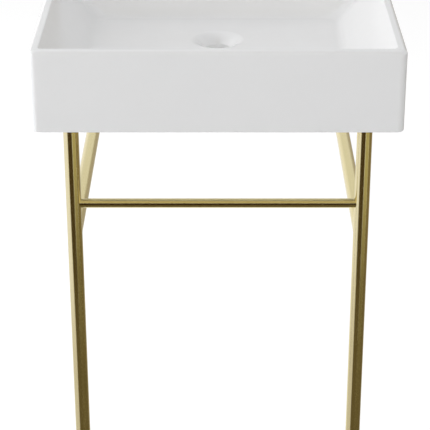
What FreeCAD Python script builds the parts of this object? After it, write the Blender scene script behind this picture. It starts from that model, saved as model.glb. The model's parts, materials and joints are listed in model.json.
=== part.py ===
"""Console sink with legs: a ceramic basin carried by the wall and by a tubular brass frame.

Frame of the model, in millimetres: +X to the right of someone who stands at the sink, +Y back
to the wall, +Z up. The origin is on the floor, under the middle of the basin. The wall is the
plane Y = basin_depth / 2.
"""
import FreeCAD, Part
import os
import re
import Sketcher

Vector = FreeCAD.Vector
Rotation = FreeCAD.Rotation

DRIVING_DIMENSIONS = [
    # basin casting
    ("basin_width", 600),
    ("basin_depth", 500),
    ("basin_height", 138),
    ("overall_height", 880),
    ("rim_width", 14.5),
    ("skirt_wall", 13),
    ("deck_depth", 75),
    ("deck_thickness", 12),
    ("corner_round", 12),
    ("top_edge_round", 6),
    ("bottom_edge_round", 3),
    ("rim_inner_round", 3),
    # bowl
    ("bowl_depth", 70),
    ("side_wall_run", 70.5),
    ("back_wall_run", 40),
    ("bowl_corner_at_rim", 7),
    ("bowl_corner_at_floor", 20),
    ("bowl_shell", 13),
    ("floor_fall", 4),
    ("floor_shell", 10),
    # drain, tap hole and wall bolts
    ("drain_from_middle", 23),
    ("drain_lip_radius", 36),
    ("drain_hole_radius", 22.5),
    ("drain_hole_top_below_rim", 90),
    ("drain_boss_radius", 38),
    ("drain_boss_foot_below_rim", 125),
    ("tap_hole_radius", 17.5),
    ("tap_hole_from_wall", 40),
    ("wall_bolt_spacing", 280),
    ("wall_bolt_hole_radius", 6.5),
    ("wall_bolt_below_rim", 60),
    ("wall_bolt_boss_radius", 22),
    ("wall_bolt_boss_length", 10),
    ("leg_block_inner_half", 36),
    ("leg_block_height", 66),
    # frame of tubes
    ("leg_from_middle", 241),
    ("leg_from_front", 50),
    ("tube_radius", 12.7),
    ("tube_wall", 1.2),
    ("bar_radius", 8),
    ("bar_wall", 1.2),
    ("bar_below_basin", 147),
    ("rail_below_basin", 200),
    ("joint_gap", 0.2),
    ("slip_fit", 0.05),
    ("running_fit", 0.05),
    ("body_gap", 0.3),
    ("loose_fit", 0.4),
    ("chamfer", 1),
    # head of each leg
    ("seat_pad_radius", 25),
    ("seat_pad_thickness", 2),
    ("seat_disc_radius", 23),
    ("seat_disc_thickness", 3),
    ("head_stud_radius", 4),
    ("basin_insert_radius", 7),
    ("basin_insert_length", 35),
    ("basin_insert_bore", 29),
    ("basin_insert_drill_point", 2),
    ("head_stud_in_insert", 27),
    ("leg_plug_length", 24),
    # foot of each leg
    ("glide_radius", 16),
    ("glide_height", 7),
    ("sole_radius", 15),
    ("sole_thickness", 1.5),
    ("foot_stud_radius", 4.95),
    ("foot_pin_radius", 4),
    ("foot_pin_length", 4),
    ("foot_hex_radius", 11),
    ("foot_hex_height", 6.2),
    ("foot_travel", 12),
    ("lock_ring_radius", 11.5),
    ("lock_ring_height", 4),
    ("lock_ring_chamfer", 0.8),
    ("glide_chamfer", 3),
    ("foot_plug_length", 22),
    ("foot_stud_in_plug", 20),
    # joints of the towel bar and of the rails
    ("bar_insert_radius", 4.5),
    ("bar_stud_radius", 3),
    ("rail_insert_radius", 5.5),
    ("rail_stud_radius", 4),
    ("insert_collar_rim", 1.2),
    ("insert_collar_length", 3),
    ("peg_length", 26),
    ("peg_stud_in_leg", 4.5),
    ("screw_from_leg", 26),
    ("set_screw_radius", 2),
    ("set_screw_length", 4),
    ("set_screw_sunk", 0.3),
    ("set_screw_socket", 1.1),
    ("wall_boss_length", 24),
    ("wall_screw_hole_radius", 2.75),
    ("wall_screw_head_radius", 5.5),
    ("wall_screw_head_depth", 8),
    ("wall_screw_countersink", 2),
]
ANY_ALIAS = re.compile(r"\b(" + "|".join(alias for alias, size in DRIVING_DIMENSIONS) + r")\b")

SIDES = (("left", -1), ("right", 1))

# The bowl's walls are drawn through sections at these shares of its depth, 0 at the rim.
BOWL_SHARES = (-0.06, 0.0, 0.2, 0.4, 0.6, 0.8, 1.0)
SHELL_SHARES = (0.1, 0.3, 0.5, 0.7, 0.85, 1.0)
# How straight each wall is in section: 1 is a flat slope, less is hollower.
SIDE_WALL_STRAIGHTNESS = 0.95
BACK_WALL_STRAIGHTNESS = 0.85
# The floor falls to a square round the drain whose corners are this nearly a full circle.
LIP_ROUNDNESS = 0.986

OVERRUN = 5.0            # how far a cutting tool passes the face it cuts
BORE_ALONG_X = Rotation(Vector(0, 1, 0), 90)
BORE_ALONG_Y = Rotation(Vector(1, 0, 0), -90)
UPRIGHT = Rotation()


# ---------------------------------------------------------------- document and its dimensions

def make_sheet(doc):
    """The driving dimensions, one alias to a row."""
    sheet = doc.addObject("Spreadsheet::Sheet", "dims")
    for row, (alias, size) in enumerate(DRIVING_DIMENSIONS, start=1):
        sheet.set(f"A{row}", alias)
        sheet.set(f"B{row}", str(size))
        sheet.setAlias(f"B{row}", alias)
    doc.recompute()
    return sheet


def in_sheet(words):
    """Turns plain names of dimensions in an expression into references to the sheet."""
    return ANY_ALIAS.sub(r"dims.\1", words)


def value_of(sheet, words):
    """The number, in millimetres, that an expression of named dimensions gives."""
    return float(sheet.evalExpression(in_sheet(words)))


def place(obj, sheet, where, rotation=UPRIGHT):
    """Puts an object where three expressions say, and binds its place to them."""
    base = Vector(*[value_of(sheet, words) for words in where])
    obj.Placement = FreeCAD.Placement(base, rotation)
    for axis, words in zip("xyz", where):
        obj.setExpression(f"Placement.Base.{axis}", in_sheet(words))


def bind(obj, **sizes):
    """Binds properties of an object to expressions of named dimensions."""
    for name, words in sizes.items():
        obj.setExpression(name, in_sheet(words))


# ---------------------------------------------------------------- general shapes

def cylinder(doc, sheet, name, radius, length, where, rotation=UPRIGHT):
    """A round bar from where, along the Z axis of rotation."""
    rod = doc.addObject("Part::Cylinder", name)
    bind(rod, Radius=radius, Height=length)
    place(rod, sheet, where, rotation)
    return rod


def block(doc, sheet, name, sizes, where):
    """A box of three sizes with its lowest corner at where."""
    box = doc.addObject("Part::Box", name)
    bind(box, Length=sizes[0], Width=sizes[1], Height=sizes[2])
    place(box, sheet, where)
    return box


def fuse(doc, name, shapes):
    union = doc.addObject("Part::MultiFuse", name)
    union.Shapes = shapes
    return union


def cut(doc, name, base, tools):
    result = doc.addObject("Part::Cut", name)
    result.Base = base
    result.Tool = tools[0] if len(tools) == 1 else fuse(doc, name + "_tools", tools)
    return result


def origin_plane(body, role):
    return next(item for item in body.Origin.OriginFeatures if item.Role == role)


def attached_sketch(body, name, role):
    sketch = body.newObject("Sketcher::SketchObject", name)
    sketch.AttachmentSupport = [(origin_plane(body, role), "")]
    sketch.MapMode = "FlatFace"
    return sketch


def hold_point(sketch, sheet, line, corner):
    """Fixes the start of a line at (radius, height), each an expression or 0 on an axis."""
    horizontal_axis, vertical_axis = -1, -2
    for kind, axis, words in (("DistanceX", vertical_axis, corner[0]),
                              ("DistanceY", horizontal_axis, corner[1])):
        if words == "0":
            sketch.addConstraint(Sketcher.Constraint("PointOnObject", line, 1, axis))
            continue
        size = value_of(sheet, words)
        index = sketch.addConstraint(Sketcher.Constraint(kind, -1, 1, line, 1, size))
        sketch.setExpression(f"Constraints[{index}]", in_sheet(words))


def turned(doc, sheet, name, profile, where, rotation=UPRIGHT):
    """A turned piece: a closed half profile of (radius, height) corners, revolved about Z."""
    body = doc.addObject("PartDesign::Body", name)
    sketch = attached_sketch(body, name + "_profile", "XZ_Plane")
    corners = [Vector(value_of(sheet, r), value_of(sheet, z), 0) for r, z in profile]
    ends = corners[1:] + corners[:1]
    lines = [sketch.addGeometry(Part.LineSegment(start, end), False)
             for start, end in zip(corners, ends)]
    for line, following in zip(lines, lines[1:] + lines[:1]):
        sketch.addConstraint(Sketcher.Constraint("Coincident", line, 2, following, 1))
    for line, corner in zip(lines, profile):
        hold_point(sketch, sheet, line, corner)
    solid = body.newObject("PartDesign::Revolution", name + "_turning")
    solid.Profile = sketch
    solid.ReferenceAxis = (sketch, ["V_Axis"])
    solid.Angle = 360.0
    body.Tip = solid
    place(body, sheet, where, rotation)
    return body


def tube(doc, sheet, name, radius, wall, length, where, rotation=UPRIGHT):
    """A drawn tube: a ring sketched on XY and padded along Z."""
    body = doc.addObject("PartDesign::Body", name)
    ring = attached_sketch(body, name + "_ring", "XY_Plane")
    for words in (radius, f"{radius} - {wall}"):
        size = value_of(sheet, words)
        circle = ring.addGeometry(Part.Circle(Vector(), Vector(0, 0, 1), size), False)
        ring.addConstraint(Sketcher.Constraint("Coincident", circle, 3, -1, 1))
        index = ring.addConstraint(Sketcher.Constraint("Radius", circle, size))
        ring.setExpression(f"Constraints[{index}]", in_sheet(words))
    drawn = body.newObject("PartDesign::Pad", name + "_drawn")
    drawn.Profile = ring
    bind(drawn, Length=length)
    body.Tip = drawn
    place(body, sheet, where, rotation)
    return body


def rounded_rectangle(half_width, front, back, radius, height):
    """A closed wire on the plane Z = height: four straight sides and four corner arcs."""
    turn = radius * (1 - 0.5 ** 0.5)
    corners = ((half_width, front, 1, -1), (half_width, back, 1, 1),
               (-half_width, back, -1, 1), (-half_width, front, -1, -1))
    edges = []
    starts = []
    finishes = []
    for x, y, right, rear in corners:
        along_x = Vector(x - right * radius, y, height)
        along_y = Vector(x, y - rear * radius, height)
        first, last = (along_x, along_y) if right * rear < 0 else (along_y, along_x)
        middle = Vector(x - right * turn, y - rear * turn, height)
        edges.append(Part.Arc(first, middle, last).toShape())
        starts.append(first)
        finishes.append(last)
    sides = [Part.LineSegment(finishes[i], starts[(i + 1) % 4]).toShape() for i in range(4)]
    ordered = [edge for pair in zip(edges, sides) for edge in pair]
    return Part.Wire(ordered)


def rounded_rectangle_sketch(body, sheet, name, half_width, half_depth, radius):
    """A rounded rectangle about the origin of a body's XY plane, held by its dimensions."""
    sketch = attached_sketch(body, name, "XY_Plane")
    half_x = value_of(sheet, half_width)
    half_y = value_of(sheet, half_depth)
    round_off = value_of(sheet, radius)
    outline = rounded_rectangle(half_x, -half_y, half_y, round_off, 0.0)
    for edge in outline.Edges:
        curve = edge.Curve
        if isinstance(curve, Part.Circle):
            piece = Part.ArcOfCircle(curve, edge.FirstParameter, edge.LastParameter)
        else:
            piece = Part.LineSegment(edge.valueAt(edge.FirstParameter),
                                     edge.valueAt(edge.LastParameter))
        sketch.addGeometry(piece, False)
    count = len(outline.Edges)
    for index in range(count):
        sketch.addConstraint(
            Sketcher.Constraint("Tangent", index, 2, (index + 1) % count, 1))
    right_side, back_side, left_side, front_side = 1, 3, 5, 7
    for side, kind, axis, words in ((right_side, "DistanceX", -1, half_width),
                                    (back_side, "DistanceY", -1, half_depth)):
        size = value_of(sheet, words)
        index = sketch.addConstraint(Sketcher.Constraint(kind, axis, 1, side, 1, size))
        sketch.setExpression(f"Constraints[{index}]", in_sheet(words))
    sketch.addConstraint(Sketcher.Constraint("Vertical", right_side))
    sketch.addConstraint(Sketcher.Constraint("Horizontal", back_side))
    sketch.addConstraint(Sketcher.Constraint("Symmetric", right_side, 1, left_side, 1, -1, 1))
    sketch.addConstraint(Sketcher.Constraint("Symmetric", back_side, 1, front_side, 1, -1, 1))
    for arc in (2, 4, 6):
        sketch.addConstraint(Sketcher.Constraint("Equal", 0, arc))
    index = sketch.addConstraint(Sketcher.Constraint("Radius", 0, round_off))
    sketch.setExpression(f"Constraints[{index}]", in_sheet(radius))
    return sketch


# ---------------------------------------------------------------- basin

def cove(share, straightness):
    """How far a bowl wall has come in, from 0 at the rim to 1 at the floor, at a share of depth."""
    return straightness * share + (1 - straightness) * max(share, 0.0) ** 3


def bowl_section(sheet, share, grow=0.0, height=None):
    """The bowl's outline at a share of its depth, made larger all round by grow."""
    half_depth = value_of(sheet, "basin_depth / 2")
    side_in = value_of(sheet, "side_wall_run") * cove(share, SIDE_WALL_STRAIGHTNESS)
    back_in = value_of(sheet, "back_wall_run") * cove(share, BACK_WALL_STRAIGHTNESS)
    half_width = value_of(sheet, "basin_width / 2 - rim_width") - side_in + grow
    front = -half_depth + value_of(sheet, "rim_width") + side_in - grow
    back = half_depth - value_of(sheet, "deck_depth") - back_in + grow
    at_rim = value_of(sheet, "bowl_corner_at_rim")
    at_floor = value_of(sheet, "bowl_corner_at_floor")
    radius = at_rim + (at_floor - at_rim) * max(share, 0.0) + grow
    if height is None:
        height = value_of(sheet, "overall_height") - value_of(sheet, "bowl_depth") * share
    return rounded_rectangle(half_width, front, back, radius, height)


def bowl_hollow(doc, sheet):
    """The space inside the bowl, down to the edge of its floor."""
    hollow = doc.addObject("Part::Feature", "bowl_hollow")
    sections = [bowl_section(sheet, share) for share in BOWL_SHARES]
    hollow.Shape = Part.makeLoft(sections, True, False)
    return hollow


def floor_hollow(doc, sheet):
    """The shallow fall of the floor, from its edge to the lip of the drain."""
    hollow = doc.addObject("Part::Feature", "floor_hollow")
    edge = bowl_section(sheet, 1.0)
    lip = value_of(sheet, "drain_lip_radius")
    centre = value_of(sheet, "drain_from_middle")
    level = value_of(sheet, "overall_height - bowl_depth - floor_fall")
    round_off = lip * LIP_ROUNDNESS
    around_lip = rounded_rectangle(lip, centre - lip, centre + lip, round_off, level)
    hollow.Shape = Part.makeLoft([edge, around_lip], True, True)
    return hollow


def bowl_shell(doc, sheet):
    """The outside of the bowl, as seen from under the basin."""
    shell = doc.addObject("Part::Feature", "bowl_shell")
    grow = value_of(sheet, "bowl_shell")
    top = value_of(sheet, "overall_height")
    foot = value_of(sheet, "bowl_depth + floor_fall + floor_shell")
    sections = [bowl_section(sheet, share, grow, top - foot * share) for share in SHELL_SHARES]
    shell.Shape = Part.makeLoft(sections, True, False)
    return shell


def basin_box(doc, sheet):
    """The outer box of the basin, with rounded edges, open and hollow underneath."""
    body = doc.addObject("PartDesign::Body", "basin_box")
    outline = rounded_rectangle_sketch(body, sheet, "box_outline", "basin_width / 2",
                                       "basin_depth / 2", "corner_round")
    box = body.newObject("PartDesign::Pad", "box_pad")
    box.Profile = outline
    bind(box, Length="basin_height")
    doc.recompute()
    height = value_of(sheet, "basin_height")
    rounded = body.newObject("PartDesign::Fillet", "top_edge")
    rounded.Base = (box, edges_at_height(box.Shape, height))
    bind(rounded, Radius="top_edge_round")
    doc.recompute()
    eased = body.newObject("PartDesign::Fillet", "bottom_edge")
    eased.Base = (rounded, edges_at_height(rounded.Shape, 0.0))
    bind(eased, Radius="bottom_edge_round")
    doc.recompute()
    opening = rounded_rectangle_sketch(body, sheet, "underside_outline",
                                       "basin_width / 2 - skirt_wall",
                                       "basin_depth / 2 - skirt_wall", "corner_round")
    underside = body.newObject("PartDesign::Pocket", "underside")
    underside.Profile = opening
    underside.Reversed = True
    bind(underside, Length="basin_height - deck_thickness")
    body.Tip = underside
    place(body, sheet, ("0", "0", "overall_height - basin_height"))
    doc.recompute()
    if underside.Shape.Volume >= eased.Shape.Volume:
        raise ValueError("the underside of the basin wasn't hollowed")
    return body


def edges_at_height(shape, height):
    """Names of the edges that lie on the plane Z = height."""
    near = 1e-4
    return [f"Edge{number}" for number, edge in enumerate(shape.Edges, start=1)
            if abs(edge.BoundBox.ZMin - height) < near
            and abs(edge.BoundBox.ZMax - height) < near]


def basin_additions(doc, sheet):
    """Bosses inside the casting: under the drain, at the wall bolts and over each leg."""
    parts = [
        cylinder(doc, sheet, "drain_boss", "drain_boss_radius",
                 "drain_boss_foot_below_rim - bowl_depth - floor_fall - floor_shell / 2",
                 ("0", "drain_from_middle", "overall_height - drain_boss_foot_below_rim")),
    ]
    for side, sign in SIDES:
        parts.append(cylinder(
            doc, sheet, f"wall_bolt_boss_{side}", "wall_bolt_boss_radius",
            "wall_bolt_boss_length + skirt_wall / 2",
            (f"{sign} * wall_bolt_spacing / 2",
             "basin_depth / 2 - skirt_wall - wall_bolt_boss_length",
             "overall_height - wall_bolt_below_rim"), BORE_ALONG_Y))
        inner_edge = "leg_from_middle - leg_block_inner_half"
        width = f"basin_width / 2 - skirt_wall / 2 - ({inner_edge})"
        corner_x = inner_edge if sign > 0 else "skirt_wall / 2 - basin_width / 2"
        parts.append(block(
            doc, sheet, f"leg_block_{side}",
            (width, "leg_from_front + leg_block_inner_half - skirt_wall / 2",
             "leg_block_height - bottom_edge_round"),
            (corner_x, "skirt_wall / 2 - basin_depth / 2",
             "overall_height - basin_height")))
    return parts


def basin_cutters(doc, sheet):
    """Everything that is taken out of the casting."""
    seat = "overall_height - drain_hole_top_below_rim"
    lip = "overall_height - bowl_depth - floor_fall"
    funnel = doc.addObject("Part::Cone", "drain_funnel")
    bind(funnel, Radius1="drain_hole_radius", Radius2="drain_lip_radius",
         Height="drain_hole_top_below_rim - bowl_depth - floor_fall")
    place(funnel, sheet, ("0", "drain_from_middle", seat))
    over_lip = cylinder(doc, sheet, "over_lip", "drain_lip_radius", "floor_fall",
                        ("0", "drain_from_middle", lip))
    drain = cylinder(doc, sheet, "drain_hole", "drain_hole_radius",
                     f"drain_boss_foot_below_rim - drain_hole_top_below_rim + {OVERRUN}",
                     ("0", "drain_from_middle",
                      f"overall_height - drain_boss_foot_below_rim - {OVERRUN}"))
    tap = cylinder(doc, sheet, "tap_hole", "tap_hole_radius", f"deck_thickness + {OVERRUN} * 2",
                   ("0", "basin_depth / 2 - tap_hole_from_wall",
                    f"overall_height - deck_thickness - {OVERRUN}"))
    tools = [bowl_hollow(doc, sheet), floor_hollow(doc, sheet), funnel, over_lip, drain, tap]
    for side, sign in SIDES:
        tools.append(cylinder(
            doc, sheet, f"wall_bolt_hole_{side}", "wall_bolt_hole_radius",
            f"wall_bolt_boss_length + skirt_wall + {OVERRUN} * 2",
            (f"{sign} * wall_bolt_spacing / 2",
             f"basin_depth / 2 - skirt_wall - wall_bolt_boss_length - {OVERRUN}",
             "overall_height - wall_bolt_below_rim"), BORE_ALONG_Y))
        tools.append(cylinder(
            doc, sheet, f"insert_hole_{side}", "basin_insert_radius",
            f"basin_insert_length + {OVERRUN}",
            (f"{sign} * leg_from_middle", "leg_from_front - basin_depth / 2",
             f"overall_height - basin_height - {OVERRUN}")))
    return tools


def rim_inner_edges(sheet, shape):
    """Numbers of the edges where the bowl's walls meet the flat of the rim."""
    top = value_of(sheet, "overall_height")
    half_width = value_of(sheet, "basin_width / 2 - rim_width / 2")
    front = value_of(sheet, "rim_width / 2 - basin_depth / 2")
    back = value_of(sheet, "basin_depth / 2 - deck_depth + rim_width / 2")
    near = 1e-3
    numbers = []
    for number, edge in enumerate(shape.Edges, start=1):
        box = edge.BoundBox
        on_top = abs(box.ZMin - top) < near and abs(box.ZMax - top) < near
        inside = box.XMin > -half_width and box.XMax < half_width
        if on_top and inside and box.YMin > front and box.YMax < back:
            numbers.append(number)
    return numbers


def make_basin(doc, sheet):
    """The whole casting, with the bowl's rim eased."""
    solid = fuse(doc, "basin_solid",
                 [basin_box(doc, sheet), bowl_shell(doc, sheet)] + basin_additions(doc, sheet))
    raw = cut(doc, "basin_raw", solid, basin_cutters(doc, sheet))
    doc.recompute()
    eased = doc.addObject("Part::Fillet", "basin")
    eased.Base = raw
    radius = value_of(sheet, "rim_inner_round")
    eased.Edges = [(number, radius, radius) for number in rim_inner_edges(sheet, raw.Shape)]
    return eased


# ---------------------------------------------------------------- heads and feet of the legs

BASIN_FOOT = "overall_height - basin_height"
LEG_TOP = "overall_height - basin_height - seat_pad_thickness - seat_disc_thickness"
LEG_FOOT = "glide_height + body_gap * 2 + foot_hex_height + foot_travel + lock_ring_height"
LEG_LENGTH = f"({LEG_TOP}) - ({LEG_FOOT})"


def leg_axis(sign, height):
    return (f"{sign} * leg_from_middle", "leg_from_front - basin_depth / 2", height)


def washer_profile(radius, hole, thickness):
    return [(hole, "0"), (radius, "0"), (radius, thickness), (hole, thickness)]


def head_of_leg(doc, sheet, side, sign):
    """Insert cast into the basin, stud, rubber pad, cover disc and the plug in the tube."""
    hole = "head_stud_radius + slip_fit"
    insert = [(hole, "0"), ("basin_insert_radius", "0"),
              ("basin_insert_radius", "basin_insert_length"), ("0", "basin_insert_length"),
              ("0", "basin_insert_bore + basin_insert_drill_point"), (hole, "basin_insert_bore")]
    stud_length = ("head_stud_in_insert + seat_pad_thickness + seat_disc_thickness"
                   " + leg_plug_length")
    stud = [("0", "0"), ("head_stud_radius - chamfer", "0"), ("head_stud_radius", "chamfer"),
            ("head_stud_radius", f"{stud_length} - chamfer"),
            ("head_stud_radius - chamfer", stud_length), ("0", stud_length)]
    disc_hole = "head_stud_radius + loose_fit"
    return [
        turned(doc, sheet, f"basin_insert_{side}", insert, leg_axis(sign, BASIN_FOOT)),
        turned(doc, sheet, f"seat_pad_{side}",
               washer_profile("seat_pad_radius", disc_hole, "seat_pad_thickness"),
               leg_axis(sign, f"{BASIN_FOOT} - seat_pad_thickness")),
        turned(doc, sheet, f"seat_disc_{side}",
               [(disc_hole, "0"), ("seat_disc_radius - chamfer", "0"),
                ("seat_disc_radius", "chamfer"), ("seat_disc_radius", "seat_disc_thickness"),
                (disc_hole, "seat_disc_thickness")],
               leg_axis(sign, LEG_TOP)),
        turned(doc, sheet, f"leg_top_plug_{side}",
               washer_profile("tube_radius - tube_wall", hole, "leg_plug_length"),
               leg_axis(sign, f"{LEG_TOP} - leg_plug_length")),
        turned(doc, sheet, f"leg_stud_{side}", stud,
               leg_axis(sign, f"{LEG_TOP} - leg_plug_length")),
    ]


def foot_of_leg(doc, sheet, side, sign):
    """Plug and lock ring that stay with the tube, and the screw, glide and sole that move."""
    bore = "foot_stud_radius + running_fit"
    pin_top = "foot_pin_length + body_gap"
    stud_top = ("foot_hex_height + foot_pin_length + body_gap + foot_travel + lock_ring_height"
                " + foot_stud_in_plug")
    screw_seat = "glide_height - foot_pin_length + body_gap"
    stud = turned(doc, sheet, f"foot_stud_{side}",
                  [("0", "0"), ("foot_pin_radius", "0"), ("foot_pin_radius", pin_top),
                   ("foot_stud_radius", pin_top),
                   ("foot_stud_radius", f"{stud_top} - chamfer"),
                   ("foot_stud_radius - chamfer", stud_top), ("0", stud_top)],
                  leg_axis(sign, screw_seat))
    hexagon = doc.addObject("Part::Prism", f"foot_hex_{side}")
    hexagon.Polygon = 6
    bind(hexagon, Circumradius="foot_hex_radius", Height="foot_hex_height")
    place(hexagon, sheet, leg_axis(sign, "glide_height + body_gap"))
    socket = "foot_pin_radius + running_fit"
    return [
        turned(doc, sheet, f"leg_foot_plug_{side}",
               washer_profile("tube_radius - tube_wall", bore, "foot_plug_length"),
               leg_axis(sign, LEG_FOOT)),
        turned(doc, sheet, f"foot_lock_ring_{side}",
               [(bore, "0"), ("lock_ring_radius - lock_ring_chamfer", "0"),
                ("lock_ring_radius", "lock_ring_chamfer"),
                ("lock_ring_radius", "lock_ring_height - lock_ring_chamfer"),
                ("lock_ring_radius - lock_ring_chamfer", "lock_ring_height"),
                (bore, "lock_ring_height")],
               leg_axis(sign, f"{LEG_FOOT} - lock_ring_height")),
        fuse(doc, f"foot_screw_{side}", [stud, hexagon]),
        turned(doc, sheet, f"foot_glide_{side}",
               [("0", "sole_thickness"), ("glide_radius", "sole_thickness"),
                ("glide_radius", "glide_height / 2"),
                ("glide_radius - glide_chamfer", "glide_height"),
                (socket, "glide_height"), (socket, "glide_height - foot_pin_length"),
                ("0", "glide_height - foot_pin_length")],
               leg_axis(sign, "0")),
        turned(doc, sheet, f"foot_sole_{side}",
               [("0", "0"), ("sole_radius", "0"), ("sole_radius", "sole_thickness"),
                ("0", "sole_thickness")],
               leg_axis(sign, "0")),
    ]


# ---------------------------------------------------------------- tubes and their joints

BAR_LEVEL = "overall_height - basin_height - bar_below_basin"
RAIL_LEVEL = "overall_height - basin_height - rail_below_basin"
SET_SCREW_HOLE = "set_screw_radius + slip_fit"
WALL_SCREW_Y = "basin_depth / 2 - wall_boss_length / 2"


def leg_tube(doc, sheet, side, sign):
    """The leg's tube, with a hole for the bar's insert inwards and one for the rail's behind."""
    drawn = tube(doc, sheet, f"leg_drawn_{side}", "tube_radius", "tube_wall", LEG_LENGTH,
                 leg_axis(sign, LEG_FOOT))
    reach = f"tube_radius + {OVERRUN}"
    inward = Rotation(Vector(0, 1, 0), -90 * sign)
    bar_hole = cylinder(doc, sheet, f"bar_insert_hole_{side}", "bar_insert_radius", reach,
                        leg_axis(sign, BAR_LEVEL), inward)
    rail_hole = cylinder(doc, sheet, f"rail_insert_hole_{side}", "rail_insert_radius", reach,
                         leg_axis(sign, RAIL_LEVEL), BORE_ALONG_Y)
    return cut(doc, f"leg_tube_{side}", drawn, [bar_hole, rail_hole])


def threaded_insert(doc, sheet, name, radius, stud, place_words, rotation):
    """A blind insert through the wall of a leg: barrel, and a collar that grips from inside."""
    collar = f"{radius} + insert_collar_rim"
    collar_end = f"sqrt((tube_radius - tube_wall)^2 - ({collar})^2) - slip_fit"
    start = f"{collar_end} - insert_collar_length"
    bore = f"{stud} + slip_fit"
    barrel = f"{radius} - slip_fit"
    profile = [(bore, start), (collar, start), (collar, collar_end), (barrel, collar_end),
               (barrel, "tube_radius"), (bore, "tube_radius")]
    return turned(doc, sheet, name, profile, place_words, rotation)


def screw_seat(doc, sheet, name, middle, tube_size):
    """The hole from below that a set screw sits in, a little deeper than the screw."""
    return cylinder(doc, sheet, name, SET_SCREW_HOLE,
                    "set_screw_length + set_screw_sunk + slip_fit",
                    (middle[0], middle[1], f"{middle[2]} - ({tube_size})"))


def peg(doc, sheet, name, radius, stud, place_words, rotation, screw_middle, tube_size):
    """The peg that a tube slides on: a stud into the leg and a barrel with the screw's seat."""
    start = "tube_radius - tube_wall - peg_stud_in_leg"
    shoulder = "tube_radius + joint_gap"
    finish = f"{shoulder} + peg_length"
    profile = [("0", start), (stud, start), (stud, shoulder), (radius, shoulder),
               (radius, f"{finish} - chamfer"), (f"{radius} - chamfer", finish), ("0", finish)]
    barrel = turned(doc, sheet, name + "_barrel", profile, place_words, rotation)
    seat = screw_seat(doc, sheet, name + "_seat", screw_middle, tube_size)
    return cut(doc, name, barrel, [seat])


def set_screw(doc, sheet, name, middle, tube_size):
    """A headless screw from below, with a hexagon socket, just under flush with the tube."""
    start = (middle[0], middle[1], f"{middle[2]} - ({tube_size}) + set_screw_sunk")
    rod = cylinder(doc, sheet, name + "_rod", "set_screw_radius", "set_screw_length", start)
    socket = doc.addObject("Part::Prism", name + "_socket")
    socket.Polygon = 6
    bind(socket, Circumradius="set_screw_socket", Height="set_screw_length / 2")
    place(socket, sheet, start)
    return cut(doc, name, rod, [socket])


def bar_screw_middle(sign):
    """Where the set screw's line crosses the axis of the towel bar."""
    return (f"{sign} * (leg_from_middle - screw_from_leg)", leg_axis(sign, "0")[1], BAR_LEVEL)


def towel_bar(doc, sheet):
    """The front bar, coped to the legs at both ends, with its two set screw holes below."""
    length = "2 * leg_from_middle"
    drawn = tube(doc, sheet, "bar_drawn", "bar_radius", "bar_wall", length,
                 leg_axis(-1, BAR_LEVEL), BORE_ALONG_X)
    tools = []
    for side, sign in SIDES:
        tools.append(cylinder(doc, sheet, f"bar_cope_{side}", "tube_radius + slip_fit",
                              "tube_radius * 2", leg_axis(sign, f"{BAR_LEVEL} - tube_radius")))
        screw_at = bar_screw_middle(sign)
        tools.append(cylinder(doc, sheet, f"bar_screw_hole_{side}", SET_SCREW_HOLE,
                              "bar_radius", screw_at[:2] + (f"{BAR_LEVEL} - bar_radius",)))
    return cut(doc, "towel_bar", drawn, tools)


def bar_joint(doc, sheet, side, sign):
    """Insert, peg and set screw at one end of the front bar."""
    inward = Rotation(Vector(0, 1, 0), -90 * sign)
    origin = leg_axis(sign, BAR_LEVEL)
    screw_at = bar_screw_middle(sign)
    return [
        threaded_insert(doc, sheet, f"bar_insert_{side}", "bar_insert_radius",
                        "bar_stud_radius", origin, inward),
        peg(doc, sheet, f"bar_peg_{side}", "bar_radius - bar_wall - slip_fit",
            "bar_stud_radius", origin, inward, screw_at, "bar_radius"),
        set_screw(doc, sheet, f"bar_set_screw_{side}", screw_at, "bar_radius"),
    ]


def side_rail(doc, sheet, side, sign):
    """The rail from the leg back to the wall, coped to the leg, square at the wall."""
    axis = leg_axis(sign, RAIL_LEVEL)
    length = "basin_depth - leg_from_front"
    drawn = tube(doc, sheet, f"rail_drawn_{side}", "tube_radius", "tube_wall", length, axis,
                 BORE_ALONG_Y)
    tools = [cylinder(doc, sheet, f"rail_cope_{side}", "tube_radius + joint_gap",
                      "tube_radius * 4", leg_axis(sign, f"{RAIL_LEVEL} - tube_radius * 2"))]
    for name, along in (("front", f"({axis[1]}) + screw_from_leg"), ("wall", WALL_SCREW_Y)):
        tools.append(cylinder(doc, sheet, f"rail_{name}_screw_hole_{side}", SET_SCREW_HOLE,
                              "tube_radius", (axis[0], along, f"{RAIL_LEVEL} - tube_radius")))
    return cut(doc, f"side_rail_{side}", drawn, tools)


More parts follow.
